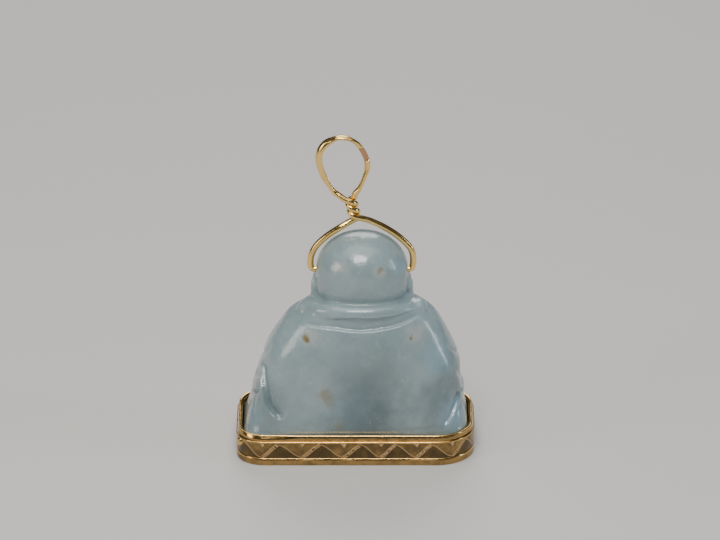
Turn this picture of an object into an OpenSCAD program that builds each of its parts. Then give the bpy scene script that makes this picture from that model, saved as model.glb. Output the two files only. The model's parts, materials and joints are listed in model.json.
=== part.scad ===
// Jade seated figure in a gold base frame, with a swinging twisted wire bail.
// The figure faces -Y. Z is up from the resting plane, and X runs across the
// shoulders, with the figure's own left hand on the +X side. Millimetres.

/* [Base frame] */
// Outer width of the frame, measured on the engraved strip
base_w = 25; // [20:0.5:32]
// Outer depth of the frame, measured on the engraved strip
base_d = 11.8; // [10:0.2:16]
// Corner radius at the back on the figure's left
corner_back_left = 2.8; // [2:0.1:4]
// Corner radius at the back on the figure's right
corner_back_right = 4; // [2:0.1:4.6]
// Corner radius of the two front corners
corner_front = 3.2; // [2:0.1:4]
// Wall of the sheet that the frame is bent from
wall = 0.5; // [0.3:0.05:0.6]
// Height of the foot rim
foot_h = 0.8; // [0.6:0.05:1.2]
// How far the foot rim stands out past the strip
foot_out = 0.12; // [0.05:0.01:0.25]
// Height of the engraved strip
strip_h = 1.7; // [1.2:0.1:2.6]
// Diameter of the divider wire over the strip
divider_d = 0.26; // [0.16:0.02:0.4]
// Height of the plain bezel that closes on the stone
bezel_h = 0.6; // [0.4:0.05:1]
// How far the bezel's top edge leans in over the stone
bezel_lean = 0.2; // [0.05:0.05:0.3]
// Thickness of the sheet that closes the frame below
plate_t = 0.4; // [0.3:0.05:0.6]
// Thickness of the cement under the stone
cement_t = 0.25; // [0.1:0.05:0.4]
// Gap between the stone and the inside of the frame
stone_gap = 0.05; // [0.03:0.01:0.1]

/* [Stone] */
// Height of the body, from the frame's top edge to the nape
body_h = 14.3; // [12:0.1:18]
// Half width of the head
head_half_w = 4.85; // [4:0.05:5.6]
// Radius of the crown about the line between the ears
crown_r = 4.2; // [3.6:0.05:4.8]
// Height of the ear hole above the nape
ear_rise = 2.45; // [2:0.05:3]
// Sideways shift of the head towards the figure's right
head_shift = 0.68; // [0:0.02:1]

/* [Bail] */
// Diameter of the round bail wire
wire_d = 0.68; // [0.5:0.02:0.8]
// Radial clearance of the wire in the ear hole
ear_clear = 0.07; // [0.04:0.01:0.1]
// Radial thickness of the wire where it is hammered flat in the loop
loop_flat_t = 0.46; // [0.36:0.02:0.6]
// Width of the wire where it is hammered flat in the loop
loop_flat_w = 0.84; // [0.7:0.02:1]
// Turns of the two strands about each other
twist_turns = 1.5; // [0.5:1:2.5]
// Pitch of the twist, in wire diameters
twist_pitch = 2.45; // [2.4:0.05:3.4]
// Gap between the crown and the arch's strands where they cross
crown_gap = 1.25; // [0.9:0.05:2]

/* [Hidden] */

$fn = 48;

// Heights of the stacked frame pieces
strip_z = foot_h;
divider_z = strip_z + strip_h;
bezel_z = divider_z + divider_d;
frame_h = bezel_z + bezel_h;

// The stone sits on cement on the plate
stone_z = plate_t + cement_t;
nape_z = frame_h + body_h;
ear_z = nape_z + ear_rise;
crown_z = ear_z + crown_r;
head_x = -head_shift;

// Corners of the footprint in order, each [sign of x, sign of y, radius]
CORNERS = [[1, -1, corner_front], [1, 1, corner_back_left],
           [-1, 1, corner_back_right], [-1, -1, corner_front]];

// ---------------------------------------------------------------- footprint

// Centre of a corner's arc
function corner_x(c) = c[0] * (base_w / 2 - c[2]);
function corner_y(c) = c[1] * (base_d / 2 - c[2]);

// Outline of the frame, moved inwards by inset
function footprint(inset, steps = 12) = [
    for (k = [0:3], i = [0:steps])
        let (c = CORNERS[k], a = -90 + 90 * k + 90 * i / steps)
            [corner_x(c) + (c[2] - inset) * cos(a), corner_y(c) + (c[2] - inset) * sin(a)]
];

module footprint_plate(inset, z, h) {
    translate([0, 0, z]) linear_extrude(height = h) polygon(footprint(inset));
}

// Runs a profile round the footprint. Profile x is measured outwards from the
// strip's outer face and profile y is height.
module run_round() {
    for (k = [0:3]) {
        c = CORNERS[k];
        n = CORNERS[(k + 1) % 4];
        turn = -90 + 90 * k;
        // the corner, and then the straight side that follows it
        translate([corner_x(c), corner_y(c), 0]) rotate([0, 0, turn])
            rotate_extrude(angle = 90) translate([c[2], 0]) children();
        side = k % 2 == 0 ? abs(corner_y(n) - corner_y(c)) : abs(corner_x(n) - corner_x(c));
        translate([corner_x(c), corner_y(c), 0]) rotate([0, 0, turn + 90])
            translate([c[2], side, 0]) rotate([90, 0, 0])
                linear_extrude(height = side) children();
    }
}

// -------------------------------------------------------------- gold pieces

module foot_rim() {
    r = foot_h / 2;
    color("goldenrod") run_round()
        intersection() {
            union() {
                translate([foot_out - r, r]) circle(r = r);
                translate([-wall, 0]) square([wall + foot_out - r, foot_h]);
            }
            translate([-wall, 0]) square([wall + foot_out, foot_h]);
        }
}

module engraved_strip() {
    color("darkgoldenrod") run_round()
        translate([-wall, strip_z]) square([wall, strip_h]);
}

module divider_wire() {
    r = divider_d / 2;
    color("gold") run_round()
        union() {
            translate([0, divider_z + r]) circle(r = r);
            translate([-wall, divider_z]) square([wall, divider_d]);
        }
}

module bezel_collar() {
    color("gold") run_round()
        polygon([[-wall, bezel_z], [0, bezel_z], [-bezel_lean, frame_h],
                 [-wall, frame_h]]);
}

module base_plate() {
    color("goldenrod") footprint_plate(wall, 0, plate_t);
}

module setting_cement() {
    color("tan") footprint_plate(wall + stone_gap, plate_t, cement_t);
}

// -------------------------------------------------------------------- stone

// Body stations: [share of body_h, half width on the figure's left and right,
// depth behind and in front, squareness]. Widths and depths are shares of the
// stone's own half width and half depth at the frame.
stone_half_w = base_w / 2 - wall - stone_gap;
stone_half_d = base_d / 2 - wall - stone_gap;
BODY = [
    [-0.04, 0.965, 0.980, 0.955, 0.955, 4.8],
    [0.04, 0.965, 0.980, 0.965, 0.950, 4.6],
    [0.13, 0.930, 0.960, 0.985, 0.860, 4.2],
    [0.29, 0.890, 0.930, 0.990, 0.700, 3.5],
    [0.45, 0.830, 0.920, 0.980, 0.610, 3.0],
    [0.60, 0.770, 0.855, 0.940, 0.570, 2.7],
    [0.74, 0.670, 0.775, 0.870, 0.560, 2.5],
    [0.84, 0.585, 0.700, 0.815, 0.550, 2.4],
    [0.91, 0.500, 0.620, 0.770, 0.530, 2.3],
    [0.96, 0.435, 0.535, 0.710, 0.480, 2.2],
    [1.00, 0.350, 0.435, 0.600, 0.400, 2.2]
];
BODY_SIDES = 40;

function power(v, p) = sign(v) * pow(abs(v), p);

function body_ring(s) = [
    for (i = [0:BODY_SIDES - 1])
        let (a = 360 * i / BODY_SIDES, c = cos(a), d = sin(a), p = 2 / s[5])
            [(c > 0 ? s[1] : s[2]) * stone_half_w * power(c, p),
             (d > 0 ? s[3] : s[4]) * stone_half_d * power(d, p),
             frame_h + body_h * s[0]]
];

// Skins a list of rings that all have the same number of points
module skin(rings) {
    n = len(rings[0]);
    m = len(rings);
    points = [for (r = rings, p = r) p];
    sides = [
        for (j = [0:m - 2], i = [0:n - 1])
            let (k = (i + 1) % n, a = j * n, b = a + n)
                each [[a + i, b + i, b + k], [a + i, b + k, a + k]]
    ];
    ends = [[for (i = [0:n - 1]) i], [for (i = [n - 1:-1:0]) (m - 1) * n + i]];
    polyhedron(points = points, faces = concat(sides, ends), convexity = 6);
}

// The same, with the last ring joined to the first one
module endless_skin(rings) {
    n = len(rings[0]);
    m = len(rings);
    polyhedron(points = [for (r = rings, p = r) p], faces = [
        for (j = [0:m - 1], i = [0:n - 1])
            let (k = (i + 1) % n, a = j * n, b = (j + 1) % m * n)
                each [[a + i, b + i, b + k], [a + i, b + k, a + k]]
    ], convexity = 6);
}

function unit(v) = v / norm(v);

// A ring about p, square to the tangent, with its half size towards up given
// by rise and its half size across by reach
function ring(p, tangent, up, reach, rise, sides) =
    let (n = unit(cross(tangent, up)), b = cross(tangent, n)) [
        for (i = [0:sides - 1])
            let (a = 360 * i / sides)
                p + reach * cos(a) * n + rise * sin(a) * b
    ];

// Rings of one size along a route
function swept(route, up, reach, rise, sides) =
    let (last = len(route) - 1) [
        for (i = [0:last])
            ring(route[i], unit(route[min(i + 1, last)] - route[max(i - 1, 0)]), up,
                 reach, rise, sides)
    ];

// Half of the head's outline over the line between the ears, as a revolved
// superellipse, so that the bail clears the crown wherever it swings
CROWN_POWER = 2.5;
crown_steps = 16;
crown_profile = concat([[0, -head_half_w]], [
    for (i = [1:crown_steps - 1])
        let (a = -90 + 180 * i / crown_steps)
            [crown_r * pow(cos(a), 2 / CROWN_POWER), head_half_w * power(sin(a), 2 / CROWN_POWER)]
], [[0, head_half_w]]);

module crown() {
    translate([head_x, 0, ear_z]) rotate([0, 90, 0]) rotate_extrude()
        polygon(crown_profile);
}

module ball(p, r) {
    translate(p) sphere(r = r, $fn = 24);
}

module limb(p, rp, q, rq) {
    hull() {
        ball(p, rp);
        ball(q, rq);
    }
}

// Height at a share of the body, for what is carved on it
function at(share) = frame_h + body_h * share;

module head() {
    jaw_r = 0.82 * crown_r;
    crown();
    translate([head_x, -0.2 * crown_r, ear_z - 0.38 * crown_r]) sphere(r = jaw_r);
    for (s = [-1, 1])
        translate([head_x + s * (head_half_w - 0.55), -0.6, nape_z - 1.1])
            cylinder(r = 0.85, h = 2.2);
}

module front_forms() {
    w = stone_half_w;
    d = stone_half_d;
    // belly
    translate([-0.03 * w, -0.16 * d, at(0.42)]) sphere(r = 0.78 * d);
    // raised left leg, folded right leg and the two feet
    limb([0.72 * w, -0.42 * d, at(0.3)], 2.2, [0.46 * w, -0.66 * d, at(0.1)], 1.5);
    limb([-0.76 * w, -0.48 * d, at(0.12)], 2.0, [-0.2 * w, -0.68 * d, at(0.09)], 1.4);
    limb([0.2 * w, -0.76 * d, at(0.06)], 0.95, [-0.1 * w, -0.78 * d, at(0.06)], 0.85);
    // forearms
    limb([0.7 * w, -0.1 * d, at(0.45)], 1.5, [0.64 * w, -0.64 * d, at(0.47)], 1.1);
    limb([-0.76 * w, -0.1 * d, at(0.42)], 1.6, [-0.44 * w, -0.76 * d, at(0.3)], 1.1);
}

// Rolled collar, high at the nape and falling to the chest over both shoulders
COLLAR_STEPS = 18;
collar_r = 0.75;
function collar_point(a) = [
    head_x + (head_half_w + 1.25) * cos(a), (crown_r - 0.3) * sin(a),
    nape_z - 1.65 + 1.5 * sin(a)
];

module collar() {
    route = [for (i = [0:COLLAR_STEPS]) collar_point(-40 + 260 * i / COLLAR_STEPS)];
    skin(swept(route, [0, 0, 1], collar_r, collar_r, 10));
}

module jade_figure() {
    color("lightslategray") difference() {
        union() {
            footprint_plate(wall + stone_gap, stone_z, frame_h - stone_z);
            skin([for (s = BODY) body_ring(s)]);
            collar();
            front_forms();
            head();
        }
        translate([head_x, 0, ear_z]) rotate([0, 90, 0])
            cylinder(r = wire_d / 2 + ear_clear, h = 3 * head_half_w, center = true);
    }
}

// --------------------------------------------------------------------- bail

// The twist stands on the crown. Its lower end is in the middle of the arch.
twist_low = [0.0, 0, crown_z + crown_gap + wire_d / 2];
twist_top = twist_low + [0.55, 0, twist_turns * twist_pitch * wire_d];
strand_r = 0.58 * wire_d;
twist_wire_r = 0.44 * wire_d;

// Route of each side of the arch, from the ear hole up to the twist, as
// [distance out from the head's side, share of the height from ear to twist]
ARCH_LEFT = [[0.14, 0.00], [0.28, 0.00], [0.52, 0.03], [0.66, 0.09], [0.62, 0.24], [0.36, 0.40],
             [-0.20, 0.55], [-1.00, 0.69], [-2.00, 0.81], [-3.00, 0.90]];
ARCH_RIGHT = [[0.14, 0.00], [0.26, 0.00], [0.43, 0.03], [0.54, 0.10], [0.46, 0.26], [0.14, 0.42],
              [-0.45, 0.57], [-1.30, 0.71], [-2.30, 0.84], [-3.30, 0.94]];

function arch(route, side) = [
    for (p = route)
        [head_x + side * (head_half_w + p[0]), 0, ear_z + p[1] * (twist_low[2] - ear_z)]
];

// Route of the loop above the twist, from its left strand to its right one
loop_w = 4.9;
loop_h = 7.0;
LOOP = [[0.16, 0.08], [0.28, 0.18], [0.42, 0.32], [0.54, 0.48], [0.59, 0.63], [0.56, 0.77],
        [0.45, 0.89], [0.28, 0.97], [0.08, 1.00], [-0.11, 0.96], [-0.26, 0.87], [-0.38, 0.74],
        [-0.44, 0.59], [-0.41, 0.43], [-0.31, 0.28], [-0.22, 0.15], [-0.16, 0.06]];
loop_centre = twist_top + [0.38, 0, 0];
loop_points = [
    for (p = LOOP) loop_centre + [loop_w * p[0], 0, loop_h * p[1]]
];

// One strand of the twist from its lower end up, starting at the given angle
TWIST_STEPS = 30;
function strand(start) = [
    for (i = [0:TWIST_STEPS])
        let (s = i / TWIST_STEPS, a = start - 360 * twist_turns * s)
            twist_low + s * (twist_top - twist_low) + strand_r * [cos(a), sin(a), 0]
];
function reversed(list) = [for (i = [len(list) - 1:-1:0]) list[i]];

// The twist starts with the arch's right side at +X and turns to meet the loop
turn_end = 360 * twist_turns;
wire_route = concat(
    arch(ARCH_RIGHT, -1), strand(turn_end), loop_points,
    reversed(strand(turn_end + 180)), reversed(arch(ARCH_LEFT, 1))
);

// Catmull-Rom point between b and c at t
function curve(a, b, c, d, t) = 0.5 * (2 * b + (c - a) * t + (2 * a - 5 * b + 4 * c - d) * t * t
    + (3 * b - a - 3 * c + d) * t * t * t);
function smooth_route(p, n) = concat(
    [for (i = [0:len(p) - 2], k = [0:n - 1])
        curve(p[max(i - 1, 0)], p[i], p[i + 1], p[min(i + 2, len(p) - 1)], k / n)],
    [p[len(p) - 1]]
);

// Half sizes of the wire's section at a height: round, squeezed in the twist,
// and flat in the loop
function blend(t) = let (u = min(max(t, 0), 1)) u * u * (3 - 2 * u);
function in_loop(z) = blend((z - twist_top[2]) / (0.25 * loop_h));
function in_twist(z) = blend((z - twist_low[2] + 1) / 0.8);
function half_t(z) =
    let (r = wire_d / 2 + (twist_wire_r - wire_d / 2) * in_twist(z))
        r + (loop_flat_t / 2 - r) * in_loop(z);
function half_w(z) =
    let (r = wire_d / 2 + (twist_wire_r - wire_d / 2) * in_twist(z))
        r + (loop_flat_w / 2 - r) * in_loop(z);

WIRE_SIDES = 14;

// One endless tube: out of the right ear, round the arch, up the twist, round the loop
// and back, and straight through the head again
module bail_wire() {
    route = smooth_route(wire_route, 2);
    last = len(route) - 1;
    color("gold")
        endless_skin([for (i = [0:last])
            let (z = route[i][2], chord = route[min(i + 1, last)] - route[max(i - 1, 0)],
                 tangent = i == 0 || i == last ? [-1, 0, 0] : unit(chord))
                ring(route[i], tangent, [0, 1, 0], half_t(z), half_w(z), WIRE_SIDES)]);
}

jade_figure();
bail_wire();
bezel_collar();
divider_wire();
engraved_strip();
foot_rim();
base_plate();
setting_cement();
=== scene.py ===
"""Carved jade figure in an engraved gold base frame, hung from a twisted wire bail.

The figure faces -Y and its own left hand is on the +X side. Shapes are worked out in
millimetres and scaled to metres when a piece is finished.
"""

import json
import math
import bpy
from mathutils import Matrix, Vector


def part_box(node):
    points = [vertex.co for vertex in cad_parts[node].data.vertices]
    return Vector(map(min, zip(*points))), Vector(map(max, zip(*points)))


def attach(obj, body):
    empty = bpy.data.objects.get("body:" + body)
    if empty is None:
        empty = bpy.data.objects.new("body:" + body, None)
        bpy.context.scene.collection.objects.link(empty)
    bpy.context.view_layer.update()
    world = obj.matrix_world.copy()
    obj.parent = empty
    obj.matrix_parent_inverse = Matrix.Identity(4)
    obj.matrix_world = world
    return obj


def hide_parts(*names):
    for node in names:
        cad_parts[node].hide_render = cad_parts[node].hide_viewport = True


bl_info = {
    "name": "Jade Figure Charm",
    "version": (1, 0, 0),
    "blender": (4, 5, 0),
    "location": "3D View > Sidebar > Charm",
    "description": "Models a carved jade figure in an engraved gold frame with a twisted wire bail",
    "category": "Add Mesh",
}

import bmesh
import bpy
import numpy as np
from bpy.props import FloatProperty, FloatVectorProperty, IntProperty, PointerProperty
from mathutils import Matrix, Vector, noise
from mathutils.bvhtree import BVHTree

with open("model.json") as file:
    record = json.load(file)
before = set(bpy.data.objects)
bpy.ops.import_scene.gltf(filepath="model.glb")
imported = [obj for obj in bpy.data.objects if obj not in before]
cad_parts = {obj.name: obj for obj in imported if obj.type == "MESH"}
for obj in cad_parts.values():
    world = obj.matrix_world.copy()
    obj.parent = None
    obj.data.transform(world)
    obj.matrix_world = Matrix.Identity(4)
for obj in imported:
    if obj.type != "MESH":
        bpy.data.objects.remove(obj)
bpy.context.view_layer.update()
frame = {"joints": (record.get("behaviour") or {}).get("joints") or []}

MM = 0.001
UP = Vector((0, 0, 1))


# ------------------------------------------------------------------ frame sizes


def box_mm(node):
    """Lowest and highest corner of a CAD node, in millimetres."""
    low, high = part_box(node)
    return low / MM, high / MM


STRIP_LOW, STRIP_HIGH = box_mm("engraved_strip")
RIM_LOW, RIM_HIGH = box_mm("foot_rim")
DIVIDER_LOW, DIVIDER_HIGH = box_mm("divider_wire")
BEZEL_LOW, BEZEL_HIGH = box_mm("bezel_collar")
STONE_LOW, STONE_HIGH = box_mm("jade_figure")

# The line between the ear holes, about which the bail swings
EAR_LINE = Vector(frame["joints"][0]["pos_m"]) / MM
HEAD_X = EAR_LINE.x
EAR_Z = EAR_LINE.z
CROWN_R = STONE_HIGH.z - EAR_Z
FRAME_TOP = BEZEL_HIGH.z


# ------------------------------------------------------------------- properties


def length_prop(name, description, default, low, high):
    return FloatProperty(
        name=name, description=description, default=default * MM, min=low * MM,
        max=high * MM, precision=5, unit="LENGTH",
    )


def colour_prop(name, description, default):
    return FloatVectorProperty(
        name=name, description=description, default=default, subtype="COLOR",
        min=0.0, max=1.0, size=3,
    )


class StoneSettings(bpy.types.PropertyGroup):
    """Sizes and colours of the carved stone."""

    grain: length_prop("Grain", "Edge length of the carved surface", 0.15, 0.1, 0.4)
    head_half_width: length_prop("Head half width", "Half the head's width at the ears", 4.85, 4, 5.6)
    hole_radius: length_prop("Ear hole radius", "Radius of the hole for the bail", 0.41, 0.3, 0.6)
    melt: IntProperty(
        name="Melt", description="Passes of smoothing over the joined blanks",
        default=7, min=0, max=30,
    )
    body_colour: colour_prop("Body", "Main colour of the stone", (0.27, 0.36, 0.385))
    cloud_colour: colour_prop("Cloud", "Paler clouds in the stone", (0.36, 0.45, 0.475))
    moss_colour: colour_prop("Moss", "Greener depths in the stone", (0.225, 0.31, 0.31))
    # Painted shade: darkens the back towards the bottom and over the sides
    painted_shade_colour: colour_prop("Deep", "Darkest clouds in the stone", (0.085, 0.13, 0.14))
    # The stone's bluish tint, and a painted reflection of the bluish window lamp on the figure's right
    # side
    blue_tint_and_reflection_colour: colour_prop("Blue", "Bluish patches in the stone", (0.25, 0.4, 0.5))
    rust_colour: colour_prop("Rust", "Brown inclusions in the stone", (0.22, 0.17, 0.055))
    bloom_colour: colour_prop("Bloom", "Pale warm halo of an inclusion", (0.54, 0.51, 0.48))


class FrameSettings(bpy.types.PropertyGroup):
    """Sizes and colours of the gold base frame."""

    wall: length_prop("Wall", "Thickness of the frame's sheet", 0.5, 0.3, 0.6)
    corner_back_left: length_prop("Back left corner", "Radius at the figure's left", 2.8, 2, 4)
    corner_back_right: length_prop("Back right corner", "Radius at the figure's right", 4.0, 2, 4.6)
    corner_front: length_prop("Front corners", "Radius of the front corners", 3.2, 2, 4)
    wave_pitch: length_prop("Wave pitch", "Length of one engraved wave", 4.05, 2, 6)
    cut_depth: length_prop("Cut depth", "Depth of the engraver's line", 0.055, 0.02, 0.1)
    gold_colour: colour_prop("Gold", "Burnished gold", (0.8, 0.5, 0.17))
    # Painted dark reflection: polished gold darkened with this colour, which tarnish also pulls towards
    dark_reflection_and_tarnish_colour: colour_prop("Field", "Dulled gold between the cuts", (0.17, 0.115, 0.055))
    # Painted glint: the engraved lines and wedges coloured paler and brighter than the gold
    cut_glint_colour: colour_prop("Cut", "Bright gold in the cuts", (0.95, 0.62, 0.31))
    cement_colour: colour_prop("Cement", "Setting cement", (0.26, 0.18, 0.1))


class BailSettings(bpy.types.PropertyGroup):
    """Sizes and colour of the wire bail."""

    wire_diameter: length_prop("Wire", "Diameter of the round wire", 0.68, 0.5, 0.8)
    flat_thickness: length_prop("Flat thickness", "Hammered wire, across the loop", 0.46, 0.36, 0.6)
    flat_width: length_prop("Flat width", "Hammered wire, along the loop's depth", 0.84, 0.7, 1.0)
    wire_colour: colour_prop("Wire gold", "Drawn gold wire", (0.94, 0.64, 0.22))
    patch_colour: colour_prop("Patch", "Pressed patch on the loop", (0.5, 0.27, 0.15))


class StageSettings(bpy.types.PropertyGroup):
    """The floor, the lights and the camera."""

    floor_colour: colour_prop("Floor", "Pale floor", (0.62, 0.61, 0.59))
    key_power: FloatProperty(name="Key", description="Power of the key light", default=1.0, unit="POWER")
    elevation: FloatProperty(
        name="Elevation", description="Camera's height above the horizon",
        default=math.radians(25), subtype="ANGLE",
    )
    distance: length_prop("Distance", "Camera's distance", 700, 100, 2000)
    frame_width: length_prop("Frame width", "Width that the picture takes in", 75.6, 40, 200)


# ------------------------------------------------------------------ mesh helpers


def shape(bm, rule):
    """Moves every vertex to where the rule puts it. The rule takes and gives an array."""
    before = np.array([v.co for v in bm.verts])
    for vert, place in zip(bm.verts, rule(before)):
        vert.co = place


def matrix_to(at, direction=UP, size=(1, 1, 1)):
    """Places a blank at a point, with its Z along a direction and its own size."""
    lean = Vector(direction).to_track_quat("Z", "Y").to_matrix().to_4x4()
    return Matrix.Translation(at) @ lean @ Matrix.Diagonal((*size, 1))


def join(bm, part):
    """Moves a part made on its own into a larger mesh."""
    carried = to_mesh(part, "part")
    bm.from_mesh(carried)
    bpy.data.meshes.remove(carried)


def ball(bm, at, size):
    """An ellipsoid with the given half sizes, or a sphere with the given radius."""
    half = (size,) * 3 if isinstance(size, (int, float)) else size
    part = bmesh.new()
    bmesh.ops.create_uvsphere(
        part, u_segments=28, v_segments=18, radius=1, matrix=matrix_to(at, UP, half)
    )
    join(bm, part)


def limb(bm, *knots):
    """A chain of tapered rods with round joints, each knot being (x, y, z, radius)."""
    for knot in knots:
        ball(bm, knot[:3], knot[3])
    for a, b in zip(knots, knots[1:]):
        start, end = Vector(a[:3]), Vector(b[:3])
        bmesh.ops.create_cone(
            bm, cap_ends=True, segments=28, radius1=a[3], radius2=b[3],
            depth=(end - start).length, matrix=matrix_to((start + end) / 2, end - start),
        )


def rod_blank(bm, sides, rings):
    """A capped rod along Z from 0 to 1 with radius 1, cut into rings."""
    made = bmesh.ops.create_cone(
        bm, cap_ends=True, segments=sides, radius1=1, radius2=1, depth=1,
        matrix=Matrix.Translation((0, 0, 0.5)),
    )["verts"]
    upright = {e for v in made for e in v.link_edges if abs(e.verts[0].co.z - e.verts[1].co.z) > 0.5}
    bmesh.ops.subdivide_edges(bm, edges=list(upright), cuts=rings - 2, use_grid_fill=True)


def smooth_path(points, count):
    """Evenly spaced points on a smooth curve through the given ones."""
    p = np.array(points, float)
    p = np.vstack([2 * p[0] - p[1], p, 2 * p[-1] - p[-2]])
    t = np.linspace(0, 1, 12, endpoint=False)[:, None]
    dense = []
    for a, b, c, d in zip(p, p[1:], p[2:], p[3:]):
        dense.append(
            0.5 * (2 * b + (c - a) * t + (2 * a - 5 * b + 4 * c - d) * t**2
                   + (3 * b - a - 3 * c + d) * t**3)
        )
    dense = np.vstack([*dense, p[-2:-1]])
    walked = np.concatenate([[0], np.cumsum(np.linalg.norm(np.diff(dense, axis=0), axis=1))])
    even = np.linspace(0, walked[-1], count)
    return np.stack([np.interp(even, walked, dense[:, i]) for i in range(dense.shape[1])], 1)


def unit(v):
    """Arrays of vectors brought to a length of 1."""
    return v / np.linalg.norm(v, axis=-1, keepdims=True)


def sweep_rod(bm, path, reach, rise, facing, roll=None):
    """Bends the rod blank along a path. Reach and rise are its half sizes at each point
    of the path, across and along the facing direction, and roll turns them."""
    count = len(path)
    tangent = unit(np.gradient(path, axis=0))
    across = unit(np.cross(tangent, facing))
    along = np.cross(tangent, across)
    if roll is not None:
        c, s = np.cos(roll)[:, None], np.sin(roll)[:, None]
        across, along = across * c + along * s, along * c - across * s

    def bend(p):
        i = p[:, 2] * (count - 1)

        def pick(values):
            return np.stack([np.interp(i, np.arange(count), values[:, k]) for k in range(3)], 1)

        return (
            pick(path) + pick(across * np.asarray(reach)[:, None]) * p[:, :1]
            + pick(along * np.asarray(rise)[:, None]) * p[:, 1:2]
        )

    shape(bm, bend)


def with_modifiers(mesh, *steps):
    """The mesh after a stack of modifiers, each given as (type, settings)."""
    carrier = bpy.data.objects.new("carrier", mesh)
    bpy.context.scene.collection.objects.link(carrier)
    for kind, settings in steps:
        modifier = carrier.modifiers.new(kind.title(), kind)
        for key, value in settings.items():
            setattr(modifier, key, value)
    made = bpy.data.meshes.new_from_object(
        carrier.evaluated_get(bpy.context.evaluated_depsgraph_get())
    )
    bpy.data.objects.remove(carrier)
    return made


def to_mesh(bm, name):
    """Turns an edit mesh into a mesh of its own, and frees it."""
    mesh = bpy.data.meshes.new(name)
    bm.to_mesh(mesh)
    bm.free()
    return mesh


def finish_piece(mesh, name, body, material, replaced):
    """Puts a finished mesh into the scene in metres, on its body and in its CAD node's place."""
    mesh.transform(Matrix.Scale(MM, 4))
    mesh.name = name
    mesh.shade_smooth()
    mesh.materials.clear()
    mesh.materials.append(material)
    piece = bpy.data.objects.new(name, mesh)
    bpy.context.scene.collection.objects.link(piece)
    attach(piece, body)
    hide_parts(replaced)


def smoothstep(x, low=0.0, high=1.0):
    """0 below low, 1 above high, and smooth between them."""
    t = np.clip((x - low) / (high - low), 0, 1)
    return t * t * (3 - 2 * t)


def wander(values, pace, seed):
    """A gentle hand-made drift between -1 and 1 along a length."""
    return np.array([noise.noise((v * pace, seed, 0.5 * seed)) for v in values])


# ----------------------------------------------------------- material expressions


class Field:
    """A value or colour that varies over a surface. Its operators add Math nodes."""

    def __init__(self, finish, socket):
        self.finish = finish
        self.socket = socket

    def maths(self, operation, *others, clamp=False):
        """A Math node on this value and the others."""
        return self.finish.node(
            "ShaderNodeMath", {"operation": operation, "use_clamp": clamp},
            dict(enumerate((self, *others))),
        )

    def __add__(self, other):
        return self.maths("ADD", other)

    def __sub__(self, other):
        return self.maths("SUBTRACT", other)

    def __rsub__(self, other):
        return self.finish.node(
            "ShaderNodeMath", {"operation": "SUBTRACT"}, {0: other, 1: self}
        )

    def __mul__(self, other):
        return self.maths("MULTIPLY", other)

    __radd__ = __add__

    def clamped(self):
        """The value held between 0 and 1."""
        return self.maths("ADD", 0.0, clamp=True)

    def step(self, low, high):
        """0 below low, 1 above high, and smooth between them."""
        return self.finish.node(
            "ShaderNodeMapRange", {"interpolation_type": "SMOOTHSTEP", "clamp": True},
            {"Value": self, "From Min": low, "From Max": high},
        )

    def output(self, name):
        """Another output of the same node."""
        return Field(self.finish, self.socket.node.outputs[name])


class Finish:
    """A material built from expressions on its surface."""

    def __init__(self, name):
        self.material = bpy.data.materials.new(name)
        self.material.use_nodes = True
        self.tree = self.material.node_tree
        self.shader = self.tree.nodes["Principled BSDF"]
        place = self.node("ShaderNodeTexCoord").output("Object")
        self.place = self.vector("SCALE", place, Scale=1 / MM)

    def node(self, kind, settings=None, inputs=None):
        """Adds a node with its settings and its inputs, and gives its first output."""
        made = self.tree.nodes.new(kind)
        for key, value in (settings or {}).items():
            setattr(made, key, value)
        for key, value in (inputs or {}).items():
            self.feed(made.inputs[key], value)
        return Field(self, next(o for o in made.outputs if o.enabled))

    def feed(self, socket, value):
        """Links a varying value to a socket, or sets a constant on it."""
        if isinstance(value, Field):
            self.tree.links.new(value.socket, socket)
        elif socket.type == "RGBA" and len(value) == 3:
            socket.default_value = (*value, 1.0)
        else:
            socket.default_value = value

    def vector(self, operation, *vectors, **named):
        """A Vector Math node on the given vectors and named inputs."""
        return self.node(
            "ShaderNodeVectorMath", {"operation": operation}, {**dict(enumerate(vectors)), **named}
        )

    def stretched(self, scale):
        """The place on the piece with its axes scaled, so that a pattern runs along one."""
        return self.vector("MULTIPLY", self.place, scale)

    def clouds(self, per_mm, detail=3.0, roughness=0.5, place=None, distortion=0.0):
        """Noise from 0 to 1, with so many features to a millimetre."""
        return self.node(
            "ShaderNodeTexNoise", {"noise_dimensions": "3D"},
            {"Vector": place or self.place, "Scale": per_mm, "Detail": detail,
             "Roughness": roughness, "Distortion": distortion},
        )

    def spot(self, centre, radius, soft=0.6, wobble=0.3, pace=1.2):
        """1 at a centre in millimetres, falling to 0 at about its radius, with a ragged edge.
        It reaches deeper than it is wide."""
        flat = (1.0, 0.35, 1.0)
        middle = tuple(a * b for a, b in zip(centre, flat))
        away = self.vector("DISTANCE", self.stretched(flat), middle).output("Value")
        ragged = away + (self.clouds(pace, 2.0) - 0.5) * (2 * wobble * radius)
        return 1 - ragged.step(radius * (1 - soft), radius)

    def mix(self, factor, a, b):
        """Colour a where the factor is 0 and b where it is 1."""
        made = self.tree.nodes.new("ShaderNodeMix")
        made.data_type = "RGBA"
        made.clamp_factor = True
        for name, value in (("Factor", factor), ("A", a), ("B", b)):
            socket = next(s for s in made.inputs if s.name == name and s.enabled)
            self.feed(socket, value)
        return Field(self, next(o for o in made.outputs if o.enabled))

    def bump(self, height, depth_mm, under=None):
        """Bends the surface's normal as a relief of the given depth would."""
        inputs = {"Height": height, "Distance": depth_mm * MM, "Strength": 1.0}
        if under is not None:
            inputs["Normal"] = under
        return self.node("ShaderNodeBump", None, inputs)

    def surface(self, **inputs):
        """Sets the shader's inputs by name, with _ for a space, and gives the material."""
        for key, value in inputs.items():
            self.feed(self.shader.inputs[key.replace("_", " ")], value)
        return self.material


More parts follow.
